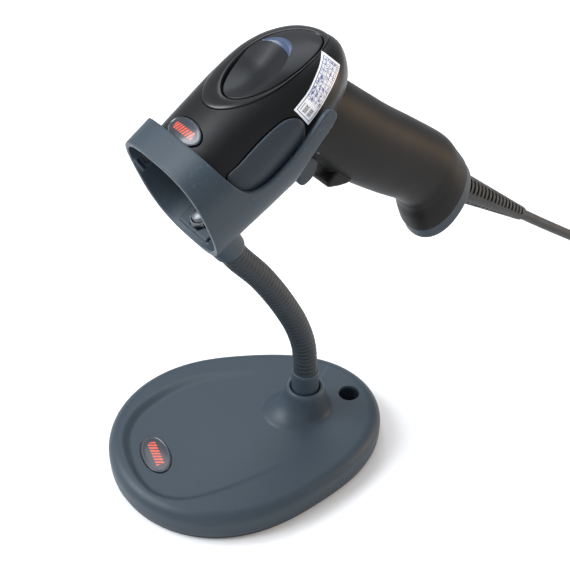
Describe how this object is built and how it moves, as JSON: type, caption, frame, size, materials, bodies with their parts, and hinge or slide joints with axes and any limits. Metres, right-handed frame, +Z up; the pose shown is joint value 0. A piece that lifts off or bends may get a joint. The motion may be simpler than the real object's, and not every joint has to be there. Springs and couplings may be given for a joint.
{
  "type": "handheld barcode scanner on gooseneck stand",
  "caption": "Pistol-grip barcode scanner resting in the cup of a gooseneck stand with a weighted egg-shaped base; trigger, neck and lift-out motion",
  "frame": {"origin": "middle of the flat underside of the stand's base", "axes": "+Z up, -Y towards the badge end of the base and the scanner's nose, +X to the scanner's left flank"},
  "size_m": [0.1191, 0.3315, 0.2236],
  "materials": {
    "slate_plastic": "fine satin moulded texture",
    "black_plastic": "satin black",
    "handle_plastic": "fine matte texture",
    "gloss_black": "polished",
    "dish_plastic": "matte charcoal",
    "lens_plastic": "translucent smoke blue",
    "badge": "domed",
    "label": "printed sticker",
    "rubber": "matte",
    "cable_rubber": "matte",
    "steel": "zinc plated",
    "cast_weight": "as cast",
    "window": "polished",
    "mirror": "first-surface",
    "circuit_board": "solder mask",
    "component": "moulded",
    "copper": "enamelled wire",
    "alloy": "die cast"
  },
  "bodies": {
    "base": {"base_cover": "slate_plastic", "base_plate": "steel", "base_weight": "cast_weight", "base_mat": "rubber", "base_screws": "steel", "base_badge": "badge", "neck_ferrule": "slate_plastic", "neck_base_nut": "steel"},
    "neck_link_1": {"neck_core_1": "steel", "neck_sleeve_1": "rubber"},
    "neck_link_2": {"neck_core_2": "steel", "neck_sleeve_2": "rubber"},
    "neck_link_3": {"neck_core_3": "steel", "neck_sleeve_3": "rubber"},
    "neck_link_4": {"neck_core_4": "steel", "neck_sleeve_4": "rubber"},
    "neck_link_5": {"neck_core_5": "steel", "neck_sleeve_5": "rubber"},
    "neck_link_6": {"neck_core_6": "steel", "neck_sleeve_6": "rubber"},
    "cup": {"cup_shell": "slate_plastic", "cup_magnets": "steel", "cup_nut": "steel", "neck_top_fitting": "steel"},
    "trigger": {"trigger": "slate_plastic"},
    "mirror": {"mirror_holder": "component", "scan_mirror": "mirror"},
    "scanner": {"board_chips": "component", "buzzer": "component", "cable": "cable_rubber", "cable_connector": "component", "collector_mirror": "mirror", "end_cap": "slate_plastic", "engine_chassis": "alloy", "handle_left": "handle_plastic", "handle_right": "handle_plastic", "head_badge": "badge", "housing_screws": "steel", "laser_module": "copper", "lower_housing": "black_plastic", "main_board": "circuit_board", "mirror_coil": "copper", "nose_bezel": "black_plastic", "photodiode_board": "circuit_board", "rating_label": "label", "scan_window": "window", "side_grip_left": "slate_plastic", "side_grip_right": "slate_plastic", "status_lens": "lens_plastic", "strain_relief": "cable_rubber", "top_dish": "dish_plastic", "top_trim": "gloss_black", "trigger_pin": "steel", "trigger_switch": "component", "upper_housing": "black_plastic", "usb_plug_body": "cable_rubber", "usb_plug_shell": "steel"}
  },
  "joints": [
    {"name": "neck_bend_1", "type": "hinge", "parent": "base", "child": "neck_link_1", "pos_m": [0.00006, 0.02784, 0.0417], "axis": [0.9703, 0.2419, 0], "range_deg": [-3, 7]},
    {"name": "neck_side_1", "type": "hinge", "parent": "neck_link_1", "child": "neck_link_2", "pos_m": [0.00032, 0.02681, 0.05735], "axis": [-0.2384, 0.9561, 0.1707], "range_deg": [-7, 7]},
    {"name": "neck_bend_2", "type": "hinge", "parent": "neck_link_2", "child": "neck_link_3", "pos_m": [0.00135, 0.02266, 0.07252], "axis": [0.9703, 0.2419, 0], "range_deg": [-3, 7]},
    {"name": "neck_side_2", "type": "hinge", "parent": "neck_link_3", "child": "neck_link_4", "pos_m": [0.00291, 0.01642, 0.08683], "axis": [-0.2172, 0.8711, 0.4406], "range_deg": [-7, 7]},
    {"name": "neck_bend_3", "type": "hinge", "parent": "neck_link_4", "child": "neck_link_5", "pos_m": [0.0047, 0.00921, 0.10077], "axis": [0.9703, 0.2419, 0], "range_deg": [-3, 7]},
    {"name": "neck_side_3", "type": "hinge", "parent": "neck_link_5", "child": "neck_link_6", "pos_m": [0.0067, 0.0012, 0.11413], "axis": [-0.1996, 0.8005, 0.5651], "range_deg": [-7, 7]},
    {"name": "neck_bend_4", "type": "hinge", "parent": "neck_link_6", "child": "cup", "pos_m": [0.00923, -0.00894, 0.12808], "axis": [0.9703, 0.2419, 0], "range_deg": [-3, 7]},
    {"name": "scanner_lift", "type": "slide", "parent": "cup", "child": "scanner", "axis": [-0.2095, 0.8403, 0.5], "range_m": [0, 0.09]},
    {"name": "trigger_pull", "type": "hinge", "parent": "scanner", "child": "trigger", "pos_m": [0.00085, 0.02467, 0.17568], "axis": [0.9703, 0.2419, 0], "range_deg": [0, 6], "stiffness_Nm_per_rad": 0.08, "springref_deg": -2.86},
    {"name": "mirror_sweep", "type": "hinge", "parent": "scanner", "child": "mirror", "pos_m": [0.00627, 0.00294, 0.19289], "axis": [0.121, -0.4851, 0.866], "range_deg": [-12, 12], "stiffness_Nm_per_rad": 0.0005}
  ],
  "couplings": [
    {"joint": "neck_bend_2", "follows": "neck_bend_1", "ratio": 1},
    {"joint": "neck_side_2", "follows": "neck_side_1", "ratio": 1},
    {"joint": "neck_bend_3", "follows": "neck_bend_1", "ratio": 1},
    {"joint": "neck_side_3", "follows": "neck_side_1", "ratio": 1},
    {"joint": "neck_bend_4", "follows": "neck_bend_1", "ratio": 1}
  ]
}
